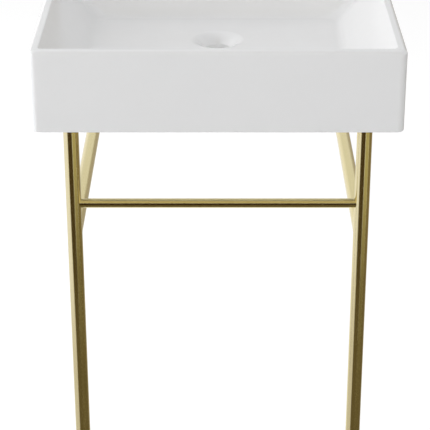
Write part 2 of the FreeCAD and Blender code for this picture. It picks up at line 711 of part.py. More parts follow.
def rail_joints(doc, sheet, side, sign):
    """Insert, peg and set screw at the leg, and the boss and its set screw at the wall."""
    axis = leg_axis(sign, RAIL_LEVEL)
    barrel = "tube_radius - tube_wall - slip_fit"
    front_screw = (axis[0], f"({axis[1]}) + screw_from_leg", axis[2])
    wall_screw = (axis[0], WALL_SCREW_Y, axis[2])
    boss_profile = [("wall_screw_hole_radius", "wall_boss_length"),
                    (barrel, "wall_boss_length"), (barrel, "chamfer"),
                    (f"{barrel} - chamfer", "0"), ("wall_screw_head_radius", "0"),
                    ("wall_screw_head_radius", "wall_screw_head_depth"),
                    ("wall_screw_hole_radius", "wall_screw_head_depth + wall_screw_countersink")]
    boss_body = turned(doc, sheet, f"wall_boss_turned_{side}", boss_profile,
                       (axis[0], "basin_depth / 2 - wall_boss_length", axis[2]), BORE_ALONG_Y)
    boss_seat = screw_seat(doc, sheet, f"wall_boss_seat_{side}", wall_screw, "tube_radius")
    return [
        threaded_insert(doc, sheet, f"rail_insert_{side}", "rail_insert_radius",
                        "rail_stud_radius", axis, BORE_ALONG_Y),
        peg(doc, sheet, f"rail_peg_{side}", barrel, "rail_stud_radius", axis, BORE_ALONG_Y,
            front_screw, "tube_radius"),
        set_screw(doc, sheet, f"rail_set_screw_{side}", front_screw, "tube_radius"),
        cut(doc, f"wall_boss_{side}", boss_body, [boss_seat]),
        set_screw(doc, sheet, f"wall_set_screw_{side}", wall_screw, "tube_radius"),
    ]


# ---------------------------------------------------------------- whole part

def make_subparts(doc, sheet):
    subparts = [make_basin(doc, sheet), towel_bar(doc, sheet)]
    for side, sign in SIDES:
        subparts += head_of_leg(doc, sheet, side, sign)
        subparts.append(leg_tube(doc, sheet, side, sign))
        subparts += foot_of_leg(doc, sheet, side, sign)
        subparts += bar_joint(doc, sheet, side, sign)
        subparts.append(side_rail(doc, sheet, side, sign))
        subparts += rail_joints(doc, sheet, side, sign)
    return subparts


def check(doc, subparts):
    """Stops if an object failed to build or a sub-part isn't one sound solid."""
    for obj in doc.Objects:
        if "Invalid" in obj.State or "Error" in obj.State:
            raise ValueError(f"{obj.Label} failed: {obj.State}")
    for part in subparts:
        shape = part.Shape
        if shape.isNull() or not shape.isValid():
            raise ValueError(f"{part.Label} has no valid shape")
        if len(shape.Solids) != 1:
            raise ValueError(f"{part.Label} has {len(shape.Solids)} solids")


def main():
    doc = FreeCAD.newDocument("console_sink")
    sheet = make_sheet(doc)
    subparts = make_subparts(doc, sheet)
    doc.recompute()
    check(doc, subparts)
    os.makedirs("parts", exist_ok=True)
    for part in subparts:
        part.Shape.exportStep(os.path.join("parts", part.Label + ".step"))
        print(f"{part.Label:24s} {part.Shape.Volume / 1000:10.2f} cm3")


main()
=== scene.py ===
"""Console sink with legs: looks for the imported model.

Units are metres. +X is to the right of someone at the sink, +Y back to the wall, +Z up.
"""
import json
import math

import bmesh
import bpy
import numpy as np
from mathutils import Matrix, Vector


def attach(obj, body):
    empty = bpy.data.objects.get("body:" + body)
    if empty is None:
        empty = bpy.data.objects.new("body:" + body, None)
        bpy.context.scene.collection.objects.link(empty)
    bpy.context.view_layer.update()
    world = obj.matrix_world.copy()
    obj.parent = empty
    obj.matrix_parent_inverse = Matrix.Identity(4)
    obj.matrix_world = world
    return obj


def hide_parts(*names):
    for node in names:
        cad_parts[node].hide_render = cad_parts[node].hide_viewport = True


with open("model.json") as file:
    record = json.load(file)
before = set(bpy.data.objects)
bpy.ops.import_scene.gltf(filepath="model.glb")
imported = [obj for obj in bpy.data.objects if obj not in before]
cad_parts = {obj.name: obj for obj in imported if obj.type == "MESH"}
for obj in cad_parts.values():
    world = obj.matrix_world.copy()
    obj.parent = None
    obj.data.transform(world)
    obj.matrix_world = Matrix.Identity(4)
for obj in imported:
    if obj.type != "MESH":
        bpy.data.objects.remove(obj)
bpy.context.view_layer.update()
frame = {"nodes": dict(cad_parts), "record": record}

SIDES = (("left", -1.0), ("right", 1.0))


# ------------------------------------------------------------------ camera

# Fitted to the vanishing points of the photo.
CAMERA_PLACE = (0.0, -2.6802, 1.7338)
CAMERA_TILT = math.radians(64.92)
CAMERA_LENS_MM = 136.52
CAMERA_SENSOR_MM = 36.0
CAMERA_SHIFT = -0.0066


def add_camera():
    data = bpy.data.cameras.new("camera")
    data.sensor_width = CAMERA_SENSOR_MM
    data.lens = CAMERA_LENS_MM
    data.shift_x = CAMERA_SHIFT
    camera = bpy.data.objects.new("camera", data)
    camera.location = CAMERA_PLACE
    camera.rotation_euler = (CAMERA_TILT, 0.0, 0.0)
    bpy.context.scene.collection.objects.link(camera)
    bpy.context.scene.camera = camera


# ------------------------------------------------------------------ nodes of materials

class Nodes:
    """Short ways to add and join the nodes of one material or of the world."""

    def __init__(self, tree):
        self.tree = tree
        tree.nodes.clear()

    def add(self, kind, inputs=None, **settings):
        node = self.tree.nodes.new(kind)
        for name, value in settings.items():
            setattr(node, name, value)
        for socket, value in (inputs or {}).items():
            self.put(node.inputs[socket], value)
        return node

    def put(self, socket, value):
        if isinstance(value, bpy.types.NodeSocket):
            self.tree.links.new(value, socket)
        else:
            socket.default_value = value

    def math(self, operation, a, b):
        return self.add("ShaderNodeMath", {0: a, 1: b}, operation=operation).outputs[0]

    def noise(self, coords, scale, detail=3.0, roughness=0.5):
        return self.add("ShaderNodeTexNoise",
                        {"Vector": coords, "Scale": scale, "Detail": detail,
                         "Roughness": roughness}).outputs["Fac"]

    def remap(self, value, low, high, to_low, to_high):
        return self.add("ShaderNodeMapRange",
                        {"Value": value, "From Min": low, "From Max": high,
                         "To Min": to_low, "To Max": to_high}).outputs["Result"]

    def mix(self, amount, a, b, blend="MIX"):
        """A mix of two colours, whose sockets are numbers 6 and 7 of the node."""
        node = self.add("ShaderNodeMix", {"Factor": amount}, data_type="RGBA", blend_type=blend)
        self.put(node.inputs[6], a)
        self.put(node.inputs[7], b)
        return node.outputs[2]

    def object_coords(self, scale=(1.0, 1.0, 1.0)):
        coords = self.add("ShaderNodeTexCoord").outputs["Object"]
        return self.add("ShaderNodeMapping", {"Vector": coords, "Scale": scale}).outputs["Vector"]

    def bump(self, height, strength, distance):
        return self.add("ShaderNodeBump", {"Height": height, "Strength": strength,
                                           "Distance": distance}).outputs["Normal"]


def new_material(name, build):
    material = bpy.data.materials.new(name)
    material.use_nodes = True
    nodes = Nodes(material.node_tree)
    output = nodes.add("ShaderNodeOutputMaterial")
    nodes.put(output.inputs["Surface"], build(nodes))
    return material


def principled(nodes, **sockets):
    named = {name.replace("_", " "): value for name, value in sockets.items()}
    return nodes.add("ShaderNodeBsdfPrincipled", named).outputs["BSDF"]


def rgb(red, green, blue):
    return (red, green, blue, 1.0)


# ------------------------------------------------------------------ finishes

WHITE = rgb(1.0, 1.0, 1.0)
LINES_ALONG, LINES_ACROSS = 6.0, 1400.0       # how fast the brush lines change, per metre
RINGS_ACROSS, RINGS_ALONG = 30.0, 2600.0      # the same for the rings of a turned piece


def glaze(nodes):
    """White glaze: nearly even in colour, with the faint waves and pits of a fired coat."""
    coords = nodes.object_coords()
    drift = nodes.noise(coords, 6.0, detail=2.0)
    colour = nodes.mix(drift, rgb(0.845, 0.848, 0.852), rgb(0.875, 0.876, 0.878))
    rough = nodes.remap(nodes.noise(coords, 35.0), 0.3, 0.7, 0.13, 0.20)
    waves = nodes.noise(coords, 28.0, detail=1.0)
    pits = nodes.math("MULTIPLY", nodes.noise(coords, 900.0, detail=1.0), 0.03)
    normal = nodes.bump(nodes.math("ADD", waves, pits), 0.12, 0.0012)
    return principled(nodes, Base_Color=colour, Roughness=rough, Normal=normal, IOR=1.52)


def brushed_brass(axis):
    """Satin brass, brushed along one axis: fine lines, slow drift of colour and roughness."""
    scale = tuple(LINES_ALONG if index == axis else LINES_ACROSS for index in range(3))

    def build(nodes):
        lines = nodes.noise(nodes.object_coords(scale), 1.0, detail=4.0, roughness=0.65)
        drift = nodes.noise(nodes.object_coords(), 9.0, detail=3.0)
        colour = nodes.mix(drift, rgb(0.77, 0.665, 0.345), rgb(0.81, 0.705, 0.375))
        fine = nodes.mix(nodes.remap(lines, 0.35, 0.65, 0.0, 1.0), rgb(0.965, 0.96, 0.95), WHITE)
        rough = nodes.math("ADD", nodes.remap(lines, 0.3, 0.7, 0.16, 0.21),
                           nodes.remap(drift, 0.35, 0.7, -0.02, 0.02))
        return principled(nodes, Base_Color=nodes.mix(1.0, colour, fine, "MULTIPLY"),
                          Metallic=1.0, Roughness=rough, Normal=nodes.bump(lines, 0.05, 0.00002))
    return build


def turned_brass(nodes):
    """Lathe-turned brass: rings that the tool left round the axis, a little duller than the tubes."""
    coords = nodes.object_coords((RINGS_ACROSS, RINGS_ACROSS, RINGS_ALONG))
    rings = nodes.noise(coords, 1.0, detail=2.0)
    drift = nodes.noise(nodes.object_coords(), 40.0, detail=3.0)
    colour = nodes.mix(drift, rgb(0.70, 0.56, 0.24), rgb(0.78, 0.65, 0.31))
    rough = nodes.remap(rings, 0.3, 0.7, 0.22, 0.34)
    return principled(nodes, Base_Color=colour, Metallic=1.0, Roughness=rough,
                      Normal=nodes.bump(rings, 0.15, 0.00003))


def zinc_plate(nodes):
    """Bright zinc on steel: cool grey with the faint cloudy spangle of the plating bath."""
    coords = nodes.object_coords()
    spangle = nodes.noise(coords, 420.0, detail=2.0)
    cloud = nodes.noise(coords, 60.0, detail=3.0)
    colour = nodes.mix(cloud, rgb(0.50, 0.52, 0.55), rgb(0.64, 0.65, 0.67))
    rough = nodes.remap(spangle, 0.3, 0.7, 0.24, 0.40)
    return principled(nodes, Base_Color=colour, Metallic=1.0, Roughness=rough,
                      Normal=nodes.bump(spangle, 0.1, 0.00003))


def black_rubber(nodes):
    """Matt rubber with a fine moulded grain and a little grey bloom."""
    coords = nodes.object_coords()
    grain = nodes.noise(coords, 1500.0, detail=2.0)
    bloom = nodes.noise(coords, 70.0, detail=3.0)
    colour = nodes.mix(bloom, rgb(0.022, 0.022, 0.023), rgb(0.055, 0.054, 0.052))
    rough = nodes.remap(grain, 0.3, 0.7, 0.70, 0.92)
    return principled(nodes, Base_Color=colour, Roughness=rough,
                      Normal=nodes.bump(grain, 0.4, 0.00008))


def glide_plastic(nodes):
    """Dark moulded plastic with a spark-eroded grain and patches that are a little smoother."""
    coords = nodes.object_coords()
    grain = nodes.noise(coords, 2400.0, detail=1.0)
    patches = nodes.noise(coords, 90.0, detail=3.0)
    colour = nodes.mix(patches, rgb(0.060, 0.060, 0.062), rgb(0.10, 0.10, 0.10))
    rough = nodes.remap(patches, 0.3, 0.7, 0.38, 0.56)
    return principled(nodes, Base_Color=colour, Roughness=rough,
                      Normal=nodes.bump(grain, 0.25, 0.00006))


def make_finishes():
    return {
        "glazed_ceramic": new_material("white_glaze", glaze),
        "brass_x": new_material("brass_brushed_along_x", brushed_brass(0)),
        "brass_y": new_material("brass_brushed_along_y", brushed_brass(1)),
        "brass_z": new_material("brass_brushed_along_z", brushed_brass(2)),
        "turned_brass": new_material("turned_brass", turned_brass),
        "zinc_steel": new_material("zinc_plate", zinc_plate),
        "rubber": new_material("black_rubber", black_rubber),
        "glide_plastic": new_material("glide_plastic", glide_plastic),
    }


def finish_of(node, slot):
    """Name of the finish that a CAD node gets: the tubes are brushed along their length."""
    if node == "towel_bar":
        return "brass_x"
    if node.startswith("side_rail"):
        return "brass_y"
    if slot == "satin_brass":
        return "brass_z"
    return slot


def dress_nodes(finishes):
    slots = {part["node"]: part["material_slot"] for part in frame["record"]["subparts"]}
    for node, thing in frame["nodes"].items():
        thing.data.materials.clear()
        thing.data.materials.append(finishes[finish_of(node, slots[node])])


# ------------------------------------------------------------------ surfaces

SAME_POINT = 1e-7                             # points nearer than this are merged
QUARTER_TURN = 0.5 * np.pi


def grid_faces(rows, columns, closed_rows):
    """Four-sided faces of a grid of points whose columns close on themselves."""
    index = np.arange(rows * columns).reshape(rows, columns)
    if closed_rows:
        index = np.concatenate((index, index[:1]))
    low, high = index[:-1], index[1:]
    return np.stack((low, np.roll(low, -1, axis=1), np.roll(high, -1, axis=1), high),
                    axis=-1).reshape(-1, 4)


def surface(name, points, closed_rows=False):
    """A closed mesh from a grid of points, (rows, columns, 3) in metres, facing outwards.

    The columns close on themselves. The rows do so too where closed_rows is true, and otherwise
    the first and the last row are each one point, a pole, or are filled with one flat face.
    """
    rows, columns = points.shape[:2]
    faces = grid_faces(rows, columns, closed_rows).tolist()
    if not closed_rows:
        last = (rows - 1) * columns
        faces += [list(range(columns)), list(range(last, last + columns))]
    mesh = bpy.data.meshes.new(name)
    mesh.from_pydata(points.reshape(-1, 3).tolist(), [], faces)
    work = bmesh.new()
    work.from_mesh(mesh)
    bmesh.ops.remove_doubles(work, verts=work.verts, dist=SAME_POINT)
    bmesh.ops.recalc_face_normals(work, faces=work.faces)
    work.to_mesh(mesh)
    work.free()
    piece = bpy.data.objects.new(name, mesh)
    bpy.context.scene.collection.objects.link(piece)
    return piece


def smooth(piece, sharp_above):
    """Smooth shading, with a sharp edge where two faces meet at more than so many degrees."""
    mesh = piece.data
    mesh.polygons.foreach_set("use_smooth", [True] * len(mesh.polygons))
    mesh.set_sharp_from_angle(angle=math.radians(sharp_above))


def finish_piece(piece, finish, body, node, sharp_above=38.0):
    """Gives a piece its shading, finish, body and slot, and lets it stand for a CAD node."""
    smooth(piece, sharp_above)
    piece.data.materials.append(finish)
    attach(piece, body)
    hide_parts(node)


def close_at_both_ends(steps):
    """Shares of a way that lie closer together near both of its ends: (1 - cos u) / 2."""
    return 0.5 - 0.5 * np.cos(np.linspace(0.0, np.pi, steps + 2)[1:-1])


def between(start, finish, steps):
    """Points on the straight way from one point to another, closer together near both."""
    return start + close_at_both_ends(steps)[:, None] * (finish - start)


def eased(corners, radii, arc_steps, straight_steps):
    """A bent line with rounded corners, and for each of its points the number of its corner.

    The arc of radius r at a corner that turns by a starts r tan(a / 2) before the corner, and
    its points are its start turned about its centre by equal parts of a. Between two arcs the
    points go straight, and their number is the first corner's plus their share of the way.
    """
    corners = np.asarray(corners, dtype=float)
    path, numbers = [corners[:1]], [np.zeros(1)]
    for number, radius in enumerate(radii, start=1):
        before, corner, after = corners[number - 1:number + 2]
        into = (corner - before) / np.linalg.norm(corner - before)
        out = (after - corner) / np.linalg.norm(after - corner)
        turn = math.atan2(into[0] * out[1] - into[1] * out[0], into @ out)
        start = corner - into * radius * math.tan(abs(turn) / 2)
        centre = start + math.copysign(radius, turn) * np.array((-into[1], into[0]))
        angle = np.linspace(0.0, turn, arc_steps)
        arm = start - centre
        arc = centre + np.stack((np.cos(angle) * arm[0] - np.sin(angle) * arm[1],
                                 np.sin(angle) * arm[0] + np.cos(angle) * arm[1]), axis=-1)
        share = np.linspace(0.0, 1.0, straight_steps + 2)[1:-1]
        path += [between(path[-1][-1], arc[0], straight_steps), arc]
        numbers += [number - 1 + share, np.full(arc_steps, float(number))]
    path += [between(path[-1][-1], corners[-1], straight_steps), corners[-1:]]
    numbers += [np.full(straight_steps, len(radii) + 0.5), np.full(1, len(radii) + 1.0)]
    return np.concatenate(path), np.concatenate(numbers)


def eased_profile(corners, radii, arc_steps=5, straight_steps=2):
    """A bent line with rounded corners, without the numbers of its corners."""
    return eased(corners, radii, arc_steps, straight_steps)[0]


AXES = {"y": ((0, 0, 1), (1, 0, 0), (0, 1, 0)),
        "z": ((1, 0, 0), (0, 1, 0), (0, 0, 1))}


def around(centre, axis, radius, height, angle):
    """Points at radius and height, by angle, about an axis through centre.

    Each is centre + radius (cos angle across + sin angle up) + height along, where across, up
    and along are the three directions that AXES gives for the axis.
    """
    across, up, along = (np.array(direction, dtype=float) for direction in AXES[axis])
    radius, height, angle = np.broadcast_arrays(radius, height, angle)
    return (np.asarray(centre) + (radius * np.cos(angle))[..., None] * across
            + (radius * np.sin(angle))[..., None] * up + height[..., None] * along)


def full_turn(steps):
    """Angles of one whole turn in equal steps, without the last one, which is the first."""
    return np.linspace(0.0, 2.0 * np.pi, steps, endpoint=False)


def turned(name, profile, centre, axis="z", steps=72, closed=False):
    """A turned piece: the (radius, height) points of a profile carried round an axis."""
    profile = np.asarray(profile, dtype=float)
    points = around(centre, axis, profile[:, :1], profile[:, 1:], full_turn(steps))
    return surface(name, points, closed_rows=closed)


# ------------------------------------------------------------------ basin

LEG_X, LEG_Y = 0.241, -0.200
HALF_WIDTH, HALF_DEPTH = 0.300, 0.250
RIM_TOP, BASIN_FOOT = 0.880, 0.742
RIM, DECK, SKIRT = 0.0145, 0.075, 0.013       # widths of the rim, of the deck and of the skirt
CORNER = 0.012                                # outer corners, in plan

BOWL_DEPTH, BOWL_CORNER, FLOOR_CORNER = 0.070, 0.007, 0.024
SIDE_RUN, BACK_RUN = 0.0705, 0.040            # how far the bowl's walls come in
SIDE_STRAIGHT, BACK_STRAIGHT = 0.95, 0.85     # 1 is a straight wall, 0 one that curves throughout
WALL_TOP = 0.05                               # share of the bowl's depth where its wall ends

# roundings in section, from the bowl's edge over the rim, the foot and the skirt to the underside
BOWL_EDGE, RIM_EDGE, FOOT_EDGE, SKIRT_EDGE = 0.003, 0.007, 0.003, 0.0004
UNDERSIDE_EDGES = (0.005, 0.006, 0.030, 0.010)

# the underside at the sides and at the back, as (distance in from the outline, height)
DECK_UNDERSIDE, SHELL_FOOT = 0.868, 0.796
SIDE_UNDERSIDE = ((SKIRT, 0.8629), (0.0250, 0.8464), (0.0458, 0.8212), (0.072, SHELL_FOOT),
                  (0.084, SHELL_FOOT))
BACK_UNDERSIDE = ((SKIRT, DECK_UNDERSIDE), (0.0638, DECK_UNDERSIDE), (0.0752, 0.8296),
                  (0.102, SHELL_FOOT), (0.114, SHELL_FOOT))
UNDERSIDE_CORNERS = (0.010, 0.034, 0.038)     # in plan, at the section's corners 5, 8 and 9

DRAIN = np.array((0.0, 0.023))
DRAIN_HOLE, DRAIN_LIP, DRAIN_BOSS = 0.0225, 0.036, 0.038
LIP_HEIGHT, HOLE_TOP, BOSS_FOOT = 0.806, 0.790, 0.755
WALL_BLEND, LIP_BLEND = 0.008, 0.014          # heights over which two surfaces pass to each other
FUNNEL_END = 0.025                            # where the funnel passes to the hole's eased edge
ROUND_RINGS_END = 0.055                       # past this the floor's rings turn to its outline
BOSS_FLAT = 0.048                             # circle where the flat under the bowl begins
DRAIN_EDGES = (0.005, 0.002, 0.001, 0.001)    # roundings from that flat round the boss to the hole

BLOCK_MIDDLE = (0.2485, -0.2035)              # leg blocks: middle in plan, sizes, roundings
BLOCK_HALF_WIDTH, BLOCK_HALF_DEPTH, BLOCK_HEIGHT = 0.0435, 0.0395, 0.063
BLOCK_CAP = 0.030                             # how far in its top and foot are drawn
BLOCK_EDGE, BLOCK_CORNER, LEAST_CORNER = 0.003, 0.005, 0.001
BLOCK_LIFT = 0.00004                          # keeps its foot off the casting's foot

BOLT_X, BOLT_HEIGHT, BOLT_HOLE, BOLT_BOSS = 0.140, 0.820, 0.0065, 0.022
BOSS_FRONT, BOSS_BACK, DRILL_START = 0.227, 0.244, 0.220
INSERT_HOLE, INSERT_START, INSERT_END = 0.00705, 0.737, 0.777
TAP_HOLE, TAP_Y, TAP_START = 0.0175, 0.210, 0.855
BOLT_MOUTH, TAP_MOUTH, DRILL_OVERRUN = 0.001, 0.0015, 0.004
BOSS_EDGES = (0.002, 0.0005)

# how many points the rings have on a side and in a corner, and how many rings each part has
SIDE_POINTS, CORNER_POINTS = 45, 11
WALL_STEPS, EDGE_STEPS, STRAIGHT_STEPS = 26, 8, 7
ROUND_STEPS, OUTWARD_STEPS, FLAT_STEPS = 24, 28, 10


def way_round(side_points, corner_points):
    """The way round a rounded rectangle, from its front side, turning left.

    Gives for each point its place on the core, from -1 to 1 in x and y, and the direction that
    the outline faces there. The outline is the core's point plus the corner radius times that
    direction, so a corner is one point of the core and a quarter turn of the direction.
    """
    go = np.linspace(-1.0, 1.0, side_points)
    turn = np.linspace(0.0, QUARTER_TURN, corner_points + 2)[1:-1]
    core, angle = [], []
    for quarter in range(4):
        start = (quarter - 1) * QUARTER_TURN
        face = np.array((math.cos(start), math.sin(start)))
        along = np.array((-face[1], face[0]))
        core += [face + go[:, None] * along, np.tile(face + along, (corner_points, 1))]
        angle += [np.full(side_points, start), start + turn]
    return np.concatenate(core).T, np.concatenate(angle)


def ring(walk, half_width, front, back, radius):
    """x and y of a rounded rectangle's outline; rows where the sizes are columns of numbers.

    Each is the middle, plus the core's place times the half size less the corner radius, plus
    the radius times the direction that the outline faces.
    """
    (core_x, core_y), angle = walk
    middle, half_depth = (front + back) / 2, (back - front) / 2
    return (core_x * (half_width - radius) + radius * np.cos(angle),
            middle + core_y * (half_depth - radius) + radius * np.sin(angle))


def facing_back(walk):
    """Square of how much the outline faces back: 0 at the front and the sides, 1 at the back."""
    return np.clip(np.sin(walk[1]), 0.0, 1.0) ** 2


def cove(share, straightness):
    """How far a bowl wall has come in, from 0 at the rim to 1 at the floor, at a share of depth."""
    return straightness * share + (1 - straightness) * share ** 3


def foot_slope(run, straightness):
    """How steeply a bowl wall meets the floor: its depth over the cove's slope at the foot."""
    return BOWL_DEPTH / (run * (3 - 2 * straightness))


def soft_lower(a, b, reach):
    """The lower of two heights, rounded off where they differ by less than reach."""
    share = np.clip(0.5 + 0.5 * (b - a) / reach, 0.0, 1.0)
    return b + share * (a - b) - reach * share * (1 - share)


def soft_upper(a, b, reach):
    """The higher of two heights, filled in where they differ by less than reach."""
    return -soft_lower(-a, -b, reach)


def funnel(radius):
    """Height of the funnel round the drain hole, which rises evenly from the hole to the lip."""
    return HOLE_TOP + (LIP_HEIGHT - HOLE_TOP) * (radius - DRAIN_HOLE) / (DRAIN_LIP - DRAIN_HOLE)


def section(run, straightness, rim, underside):
    """Half a cut through the basin, as (distance in from the outline, height) points.

    It goes up the bowl's wall, over the rim, down the outside, under the foot, up inside the
    skirt and along the underside to the flat under the bowl. The second result numbers the
    points: from 0 at the bowl's floor down to -1 up its wall, and from there the numbers of the
    corners, of which 1 is the bowl's edge, 2 the rim's outer edge and 3 the foot's.
    """
    depth_share = np.linspace(1.0, WALL_TOP, WALL_STEPS)
    wall = np.stack((rim + run * cove(depth_share, straightness),
                     RIM_TOP - BOWL_DEPTH * depth_share), axis=-1)
    corners = [wall[-1], (rim, RIM_TOP), (0.0, RIM_TOP), (0.0, BASIN_FOOT), (SKIRT, BASIN_FOOT),
               *underside]
    radii = (BOWL_EDGE, RIM_EDGE, FOOT_EDGE, SKIRT_EDGE, *UNDERSIDE_EDGES)
    path, number = eased(corners, radii, EDGE_STEPS, STRAIGHT_STEPS)
    return np.concatenate((wall, path[1:])), np.concatenate((depth_share - 1.0, number[1:]))


def plan_corners(number, distance_in):
    """Corner radius in plan of each ring, by the number of its place in the section.

    In the bowl it grows evenly from BOWL_CORNER at the rim to FLOOR_CORNER at the floor. Down
    the outside it is CORNER less the ring's distance in, which gives the edges one rounding all
    the way round. Elsewhere it goes straight from one corner's value to the next.
    """
    in_bowl = BOWL_CORNER + (FLOOR_CORNER - BOWL_CORNER) * (number + 1.0)
    elsewhere = np.interp(number, (1.0, 2.0, 3.0, 5.0, 8.0, 9.0),
                          (BOWL_CORNER, CORNER - RIM_EDGE, CORNER - FOOT_EDGE,
                           *UNDERSIDE_CORNERS))
    outside = (number >= 2.0) & (number <= 3.0)
    return np.select((number <= 0.0, outside), (in_bowl, CORNER - distance_in), elsewhere)


def wall_rings(walk):
    """The basin's surface from the edge of the bowl's floor round to the flat under the bowl.

    Each ring is a rounded rectangle: the sides and the front go in by the side section, the
    back by the back section, and in the back corners the height turns from one to the other by
    the square of how much the outline faces back.
    """
    side, number = section(SIDE_RUN, SIDE_STRAIGHT, RIM, SIDE_UNDERSIDE)
    back = section(BACK_RUN, BACK_STRAIGHT, DECK, BACK_UNDERSIDE)[0]
    x, y = ring(walk, HALF_WIDTH - side[:, :1], side[:, :1] - HALF_DEPTH,
                HALF_DEPTH - back[:, :1], plan_corners(number, side[:, 0])[:, None])
    z = side[:, 1:] + facing_back(walk) * (back[:, 1:] - side[:, 1:])
    in_bowl = (number <= 0.0)[:, None]
    z = np.where(in_bowl, soft_upper(z, np.full_like(z, RIM_TOP - BOWL_DEPTH), WALL_BLEND), z)
    return np.stack((x, y, z), axis=-1)


def floor_rings(edge, walk):
    """The bowl's floor: rings from the drain's circle out to the edge of the floor.

    A ring is a mix of the circle and the edge. Its height is the floor, which falls evenly to
    the drain, or where that is higher the slope of the wall carried on, or where that is lower
    the funnel round the drain; each change is rounded off.
    """
    arm = edge[:, :2] - DRAIN
    length = np.linalg.norm(arm, axis=1)
    near = np.linspace(FUNNEL_END, ROUND_RINGS_END, ROUND_STEPS)[1:, None]
    outward = close_at_both_ends(OUTWARD_STEPS)[:, None]
    reach = np.concatenate((np.broadcast_to(near, (len(near), len(length))),
                            near[-1] + outward * (length - near[-1])))
    xy = DRAIN + reach[..., None] * arm / length[:, None]
    face = np.stack((np.cos(walk[1]), np.sin(walk[1])), axis=-1)
    inward = ((edge[:, :2] - xy) * face).sum(axis=-1)
    foot = RIM_TOP - BOWL_DEPTH
    floor = LIP_HEIGHT + (foot - LIP_HEIGHT) * (reach - DRAIN_LIP) / (length - DRAIN_LIP)
    slope = foot_slope(SIDE_RUN, SIDE_STRAIGHT)
    slope += facing_back(walk) * (foot_slope(BACK_RUN, BACK_STRAIGHT) - slope)
    floor = soft_upper(floor, foot - slope * inward, WALL_BLEND)
    return np.concatenate((xy, soft_lower(funnel(reach), floor, LIP_BLEND)[..., None]), axis=-1)


def drain_rings(flat_edge, direction):
    """The flat under the bowl, the drain's boss, and up through the hole to its funnel."""
    corners = [(BOSS_FLAT, SHELL_FOOT), (DRAIN_BOSS, SHELL_FOOT), (DRAIN_BOSS, BOSS_FOOT),
               (DRAIN_HOLE, BOSS_FOOT), (DRAIN_HOLE, HOLE_TOP),
               (FUNNEL_END, funnel(FUNNEL_END))]
    path = eased_profile(corners, DRAIN_EDGES, 6, 4)
    circle = DRAIN + path[0, 0] * direction
    share = np.linspace(0.0, 1.0, FLAT_STEPS + 2)[1:-1, None, None]
    flat = flat_edge[:, :2] + share * (circle - flat_edge[:, :2])
    flat = np.concatenate((flat, np.full(flat.shape[:2] + (1,), SHELL_FOOT)), axis=-1)
    height = np.broadcast_to(path[:, 1:, None], (len(path), len(direction), 1))
    round_part = np.concatenate((DRAIN + path[:, :1, None] * direction, height), axis=-1)
    return np.concatenate((flat, round_part))


def leg_block(name, sign):
    """The thick part of the casting over a leg: a block with rounded edges."""
    path = eased_profile([(BLOCK_CAP, 0.0), (0.0, 0.0), (0.0, BLOCK_HEIGHT),
                          (BLOCK_CAP, BLOCK_HEIGHT)], (BLOCK_EDGE, BLOCK_EDGE), 5, 1)
    inset, height = path[:, :1], path[:, 1:]
    x, y = ring(way_round(2, 5), BLOCK_HALF_WIDTH - inset, inset - BLOCK_HALF_DEPTH,
                BLOCK_HALF_DEPTH - inset, np.maximum(BLOCK_CORNER - inset, LEAST_CORNER))
    points = np.stack((x, y, np.broadcast_to(height, x.shape)), axis=-1)
    middle_x, middle_y = BLOCK_MIDDLE
    return surface(name, points + np.array((sign * middle_x, middle_y, BASIN_FOOT + BLOCK_LIFT)))


def bolt_boss(name, sign):
    """The round boss behind a wall bolt's hole, inside the casting's back."""
    path = eased_profile([(0.0, BOSS_FRONT), (BOLT_BOSS, BOSS_FRONT), (BOLT_BOSS, BOSS_BACK),
                          (0.0, BOSS_BACK)], BOSS_EDGES, 5, 1)
    return turned(name, path, (sign * BOLT_X, 0.0, BOLT_HEIGHT), "y")


def insert_hole(name, sign):
    """The blind hole that a leg's insert is cemented into."""
    rod = [(0.0, INSERT_START), (INSERT_HOLE, INSERT_START), (INSERT_HOLE, INSERT_END),
           (0.0, INSERT_END)]
    return turned(name, rod, (sign * LEG_X, LEG_Y, 0.0))


def flared_hole(name, radius, centre, axis, start, finish, mouth):
    """What a drill and the mouth's rounding take out: a rod that flares by a quarter circle."""
    turn = np.linspace(0.0, QUARTER_TURN, 6)
    flare = np.stack((radius + mouth * (1 - np.cos(turn)),
                      finish - mouth + mouth * np.sin(turn)), axis=-1)
    end = finish + DRILL_OVERRUN
    profile = np.concatenate(([(0.0, start), (radius, start)], flare,
                              [(radius + mouth, end), (0.0, end)]))
    return turned(name, profile, centre, axis, steps=64)


def joined(pieces):
    """One object from several that don't touch, for one cut."""
    work = bmesh.new()
    for piece in pieces:
        work.from_mesh(piece.data)
    first = pieces[0]
    work.to_mesh(first.data)
    work.free()
    for piece in pieces[1:]:
        bpy.data.objects.remove(piece)
    return first


def boolean(piece, other, operation):
    """Fuses the other object to a piece, or cuts it out, and removes it."""
    modifier = piece.modifiers.new(operation.lower(), "BOOLEAN")
    modifier.object = other
    modifier.operation = operation
    modifier.solver = "EXACT"
    bpy.context.view_layer.update()
    seen = piece.evaluated_get(bpy.context.evaluated_depsgraph_get())
    mesh = bpy.data.meshes.new_from_object(seen)
    piece.modifiers.clear()
    piece.data = mesh
    bpy.data.objects.remove(other)


def make_casting():
    """The basin without blocks and holes: rings that form one closed surface round the drain."""
    walk = way_round(SIDE_POINTS, CORNER_POINTS)
    walls = wall_rings(walk)
    arm = walls[0, :, :2] - DRAIN
    direction = arm / np.linalg.norm(arm, axis=1)[:, None]
    rings = (floor_rings(walls[0], walk), walls, drain_rings(walls[-1], direction))
    return surface("basin_casting", np.concatenate(rings), closed_rows=True)


